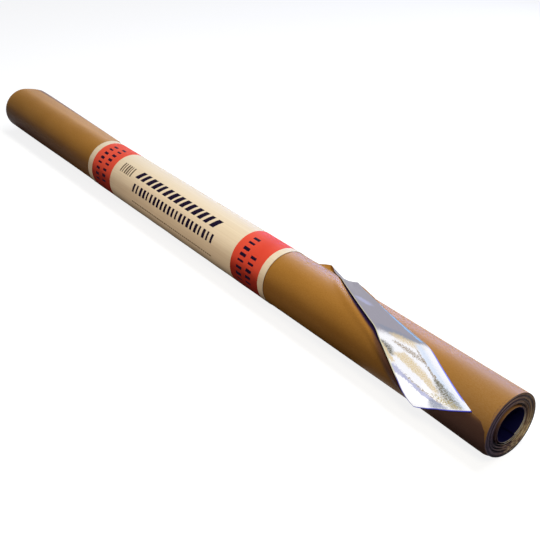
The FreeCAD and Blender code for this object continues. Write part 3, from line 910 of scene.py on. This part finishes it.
# A wound end as a spiral ribbon. Boundary b of the spiral has a reach that grows by one sheet a
# turn, plus the open gaps passed, each a crescent (1 - cos) / 2 that is widest on the loose side,
# and the whole is scaled to lie between the mouth and the outermost turn. The profile of each turn
# is wall, rim, rim, wall; walls go down deep only beside an open gap. Rims step in and out by a
# slow wander along the spiral.
def makeEnd(name, atNear, seed):
    rng = np.random.default_rng(seed)
    sweep = np.linspace(0, 360, ends["columns"] + 1)[None, :]
    crescent = ends["gapLeast"] + (1 - ends["gapLeast"]) * (0.5 - 0.5 * np.cos(np.radians(sweep)))
    turn = np.arange(ends["turns"] + 1)[:, None]
    meanGap = sum(ends["gapWidths"]) * (1 + ends["gapLeast"]) / 2
    sheet = (ends["outside"] - ends["mouth"] - meanGap) / ends["turns"]

    def boundary(count):
        total = np.clip(count, 0, ends["turns"]) * sheet
        whole = ends["turns"] * sheet + 0 * count
        for place, wide in zip(ends["gapTurns"], ends["gapWidths"]):
            total = total + wide * crescent * (np.floor(turn - 0.5) + 1 > place)
            whole = whole + wide * crescent
        return total / whole * (ends["outside"] - ends["mouth"])

    gapAfter = 0 * turn + 0 * sweep
    for place, wide in zip(ends["gapTurns"], ends["gapWidths"]):
        gapAfter = gapAfter + wide * crescent * (turn == place)
    gapBefore = np.concatenate([gapAfter[:1] * 0, gapAfter[:-1]])
    inner = ends["mouth"] + boundary(turn - 1 + sweep / 360)
    outer = ends["mouth"] + boundary(turn + sweep / 360)
    count = turn + sweep / 360
    knots = ends["turns"] + 3
    jitter = np.interp(count, np.arange(knots), rng.normal(0, ends["jitter"], knots))
    slow = sum(deep * np.sin(count * rate + shift * seed) for deep, rate, shift in ends["wander"])
    outermostTurns = ease((count - ends["turns"] + ends["bevelTurns"]) / ends["bevelTurns"])
    bevel = ends["bevel"] * outermostTurns * ease((-np.cos(np.radians(sweep - 90)) + 0.2) / 1.2)
    rim = np.minimum(jitter + slow * ends["wanderShare"] - ends["rimDepth"] - bevel, 0.0)
    rim = rim - ends["step"] * ease((6 - count) / 5)
    thick = outer - inner
    below = ends["gapDepth"] - ends["grooveDepth"]
    wallIn = rim - ends["grooveDepth"] - below * ease(gapBefore / 0.3)
    wallOut = rim - ends["grooveDepth"] - below * ease(gapAfter / 0.3)
    reaches = np.stack([inner + share * thick for share in (0.05, 0.2, 0.8, 0.95)], 1)
    depths = np.stack([wallIn, rim, rim, wallOut], 1)
    reaches = reaches.reshape(-1, ends["columns"] + 1)
    depths = depths.reshape(-1, ends["columns"] + 1)
    angle = ends["looseAngle"] + 180 + sweep

    def ring(reach, depth):
        return np.full_like(sweep, reach), np.full_like(sweep, depth)

    before = [ring(ends["collar"], -ends["backDepth"]), ring(ends["collar"], -ends["mouthDepth"]),
              ring(ends["mouth"], -ends["mouthDepth"]), ring(ends["mouth"], -3.0)]
    after = [ring(ends["outside"], -1.6), ring(ends["outside"], -ends["backDepth"])]
    after.append(before[0])
    reaches = np.concatenate([r for r, d in before] + [reaches] + [r for r, d in after])
    depths = np.concatenate([d for r, d in before] + [depths] + [d for r, d in after])
    along = roll["width"] + depths if atNear else -depths
    points = onRoll(along, angle + 0 * reaches, reaches)
    rows, columns = reaches.shape
    faces = gridFaces(rows, columns)
    kinds = np.zeros((rows - 1, columns - 1), int)
    kinds[:4] = 1
    return addPiece(name, points.reshape(-1, 3), faces, kinds.ravel(), [ringEdges, lining],
                    weld=0.002)


makeEnd("near_end_turns", True, 3)
makeEnd("far_end_turns", False, 5)


loose = {
    "reach": mounts["bore"]["dims"]["r_mm"] + 0.05,
    "turns": 2.35,
    "growth": 1.55,          # reach gained over one turn
    "wall": 0.3,
    "slip": 1.3,             # the rim stands out this far at the near end
    "leanUp": 2.6,           # at the near end the bore leans up and back by this much
    "leanBack": 0.8,
    "leanFrom": 60.0,        # over this stretch before the end
    "squash": 0.05,          # and is this share lower than it is wide
    "startAngle": 205.0,
    "dark": 0.3,             # share of the painted shade in the kraft, and more over the front
    "paintedShadeFront": 0.5,
    "columns": 230,
    "rows": [(0, 0.03, 8), (0.1, 0.9, 18), (0.97, 1, 12)],
}


# The innermost turns as a loose spiral about the bore's axis that works its way out to the roll's
# axis, and leans up over its last stretch. The free rim steps back as the spiral grows, at the near
# end and at the far one.
def makeLooseTurns():
    turn = np.linspace(0, loose["turns"], loose["columns"])[None, :]
    angle = np.radians(loose["startAngle"] + 360 * turn)
    reach = loose["reach"] + loose["growth"] * turn ** 1.1
    toRoll = 1 - turn / loose["turns"]
    boreUp = mounts["bore"]["pos_m"][2] / mm - roll["axisHeight"]
    boreForward = -mounts["bore"]["pos_m"][1] / mm
    share = stations(loose["rows"])[:, None]
    nearRim = roll["width"] + loose["slip"] - 0.6 * turn + 0.35 * np.sin(angle + 1)
    nearRim = np.minimum(nearRim, roll["width"] + loose["slip"])
    farRim = loose["slip"] + 0.6 * turn
    along = farRim + share * (nearRim - farRim)
    lean = ease((along - roll["width"] + loose["leanFrom"]) / loose["leanFrom"])
    up = (boreUp + loose["leanUp"] * lean) * toRoll + reach * np.cos(angle) * (1 - loose["squash"] * lean)
    forward = (boreForward - loose["leanBack"] * lean) * toRoll + reach * np.sin(angle)
    inner = np.stack([along - roll["width"] / 2, -forward, roll["axisHeight"] + up], axis=-1) * mm
    points, faces, kinds = thickSheet(inner, -loose["wall"])
    front = np.degrees(angle) % 360
    # painted shade on the kraft of the inner turns, more over the front
    dark = loose["dark"] + loose["paintedShadeFront"] * ease((front - 25) / 60) * (front < 230)
    flat = flatPlace(angle * reach, nearRim - along, dark)
    return addPiece("innermost_turns", points, faces, kinds, [boreLining, paper, edging],
                    flat)


makeLooseTurns()


band = {
    "start": bandLow.x / mm + roll["width"] / 2,
    "reach": 41.6,
    "wall": 0.3,
    "lapAngle": -130.0,
    "lapSweep": 28.0,
    "floor": 0.1,            # height of its underside over the floor
    "columns": 190,
    "rows": 128,
    "cockle": 0.09,
}


# One strip of paper wrapped a little more than once round: the reach steps up by a wall where the
# end laps over the start. Low cockles run slantwise over it and fade at its edges.
def makeBand():
    along = np.linspace(0, 1, band["rows"])[:, None] * wrapper["width"]
    sweep = np.linspace(0, 360 + band["lapSweep"], band["columns"])[None, :]
    angle = band["lapAngle"] + sweep
    lap = ease((sweep - 350) / 9)
    waves = np.sin(along / 19 + np.radians(angle) * 5) * np.sin(along / 43 - np.radians(angle) * 2)
    waves = waves + 0.7 * np.sin(along / 9.5 - np.radians(angle) * 4 + 2) * ease((angle - 45) / 30)
    fade = ease(along / 15) * ease((wrapper["width"] - along) / 15)
    fade = fade * ease(sweep / 10) * ease((372 - sweep) / 25)
    reach = band["reach"] + band["wall"] * 1.05 * lap + band["cockle"] * waves * fade
    outer = onRoll(band["start"] + along, angle, reach, band["floor"])
    points, faces, kinds = thickSheet(outer, band["wall"])
    flat = flatPlace(along + 0 * angle, angle + 0 * along)
    return addPiece("wrapper_band", points, faces, kinds, [printed, printed, edging], flat)


sleeve = makeBand()
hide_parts("paper_band")
print("pieces made")


studio = {
    "floorBounce": (0.06, 0.06, 0.07, 1),
    "floorPale": (0.28, 0.28, 0.28, 1),
    "floorGlow": 0.85,
    # the strip that gloss sees dark, a painted shadow under the roll, in metres: half width and half
    # length with a soft edge, then middle and half length of the stretch left white
    "stripWidth": (0.1, 0.045),
    "stripLength": (0.66, 0.62),
    "tipPlace": 0.47,
    "tipLength": (0.04, 0.065),
    "ambient": (0.04, 0.05, 0.10, 1),
    # place, aim, colour, power in watts, length and width
    "lamps": [((0.05, 0.28, 1.3), (0, 0, 0), (1.0, 1.0, 0.92), 17.3, 1.5, 0.3),
              ((0.05, -0.5, 0.24), (0.05, 0, 0.03), (1.0, 0.75, 0.5), 0.62, 0.4, 0.3),
              ((0.95, -0.3, 0.8), (0.7, 0, 0), (1.0, 0.9, 0.68), 3.3, 0.3, 0.3),
              ((0.2, 1.6, 0.55), (0.1, 0, 0), (0.45, 0.55, 1.0), 16.0, 1.5, 0.5)],
    # the same for two strips that only put a sheen on the paper
    "sheenLamps": [((-0.6, 1.2, 0.85), (-0.3, 0, 0), (0.9, 0.92, 1.0), 84.0, 2.8, 0.6),
                   ((-0.35, 1.3, 0.4), (0.5, 0, 0.08), (0.08, 0.3, 1.0), 42.0, 1.2, 0.6)],
    "bandFill": ((0.0, -0.5, 0.2), (0, 0, 0.02), (1.0, 0.84, 0.62), 0.75, 0.4, 0.3),
    "cameraPlace": (1.0431, -0.6399, 0.6468),
    "cameraForward": (-0.689, 0.525, -0.4995),
    "lens": 58.19,
}


# 1 for what the camera sees directly, in a mirror or through glass
def seenDirectly(tree):
    path = node(tree, "LightPath")
    seen = maths(tree, "MAXIMUM", path.outputs["Is Camera Ray"], path.outputs["Is Glossy Ray"])
    return maths(tree, "MAXIMUM", seen, path.outputs["Is Transmission Ray"])


# The floor looks white, keeps the shadow, and throws back only a little light. Gloss sees a
# painted shadow, dark in a strip under the roll, apart from a stretch in front of the foil's tip.
def makeFloor():
    size, below = 12.0, 0.0004
    corners = [(-size, -size, -below), (size, -size, -below), (size, size, -below), (-size, size, -below)]
    mesh = bpy.data.meshes.new("floor")
    mesh.from_pydata(corners, [], [(0, 1, 2, 3)])
    material = bpy.data.materials.new("floor")
    material.use_nodes = True
    tree = material.node_tree
    tree.nodes.clear()
    dark = node(tree, "BsdfDiffuse", {"Color": studio["floorBounce"]})
    pale = node(tree, "BsdfDiffuse", {"Color": studio["floorPale"]})
    glow = node(tree, "Emission", {"Color": (1, 1, 1, 1), "Strength": studio["floorGlow"]})
    white = node(tree, "AddShader", wires={0: pale.outputs[0], 1: glow.outputs[0]})
    along, back = threeParts(tree, onObject(tree))[:2]
    # painted shadow under the roll, seen only in gloss
    under = times(tree, softStep(tree, absolute(tree, back), *studio["stripWidth"]),
                  softStep(tree, absolute(tree, along), *studio["stripLength"]))
    tip = absolute(tree, minus(tree, along, studio["tipPlace"]))
    under = times(tree, under, softStep(tree, tip, *studio["tipLength"]))
    under = times(tree, under, node(tree, "LightPath").outputs["Is Glossy Ray"])
    share = minus(tree, seenDirectly(tree), under)
    mixed = node(tree, "MixShader", wires={0: share, 1: dark.outputs[0], 2: white.outputs[0]})
    node(tree, "OutputMaterial", wires={"Surface": mixed.outputs[0]})
    mesh.materials.append(material)
    floor = bpy.data.objects.new("floor", mesh)
    bpy.context.scene.collection.objects.link(floor)


# white where it is seen directly, and a faint blue light elsewhere
def makeWorld():
    world = bpy.data.worlds.new("studio")
    world.use_nodes = True
    tree = world.node_tree
    tree.nodes.clear()
    ambient = node(tree, "Background", {"Color": studio["ambient"], "Strength": 1.0})
    white = node(tree, "Background", {"Color": (1, 1, 1, 1), "Strength": 1.0})
    share = seenDirectly(tree)
    mixed = node(tree, "MixShader", wires={0: share, 1: ambient.outputs[0], 2: white.outputs[0]})
    node(tree, "OutputWorld", wires={"Surface": mixed.outputs[0]})
    bpy.context.scene.world = world


# a softbox turned towards its aim: it lights matt surfaces, or else gives only a sheen
def makeLamp(place, aim, colour, power, length, width, gloss=False):
    lamp = bpy.data.lights.new("softbox", "AREA")
    lamp.shape = "RECTANGLE"
    lamp.size, lamp.size_y = length, width
    lamp.color = colour
    lamp.energy = power
    holder = bpy.data.objects.new("softbox", lamp)
    holder.location = place
    holder.rotation_euler = (Vector(aim) - holder.location).to_track_quat("-Z", "Y").to_euler()
    holder.visible_camera = False
    holder.visible_diffuse = not gloss
    holder.visible_glossy = gloss
    bpy.context.scene.collection.objects.link(holder)
    return holder


# all softboxes; the sheen lamps only reach the kraft and the wrapper, and the last one the wrapper
def makeLamps():
    for settings in studio["lamps"]:
        makeLamp(*settings)
    for name, pieces in (("paper", (outermost, sleeve)), ("wrapper", (sleeve,))):
        receivers = bpy.data.collections.new(name)
        for piece in pieces:
            receivers.objects.link(piece)
    for settings in studio["sheenLamps"]:
        makeLamp(*settings, gloss=True).light_linking.receiver_collection = bpy.data.collections["paper"]
    makeLamp(*studio["bandFill"]).light_linking.receiver_collection = bpy.data.collections["wrapper"]


# a camera in front of the near end, turned along its forward direction
def makeCamera():
    camera = bpy.data.cameras.new("camera")
    camera.lens = studio["lens"]
    camera.sensor_width = 36.0
    camera.clip_start = 0.01
    holder = bpy.data.objects.new("camera", camera)
    holder.location = studio["cameraPlace"]
    holder.rotation_euler = Vector(studio["cameraForward"]).to_track_quat("-Z", "Y").to_euler()
    bpy.context.scene.collection.objects.link(holder)
    bpy.context.scene.camera = holder


makeFloor()
makeWorld()
makeLamps()
makeCamera()
bpy.context.scene.view_settings.view_transform = "Standard"
print("stage set")
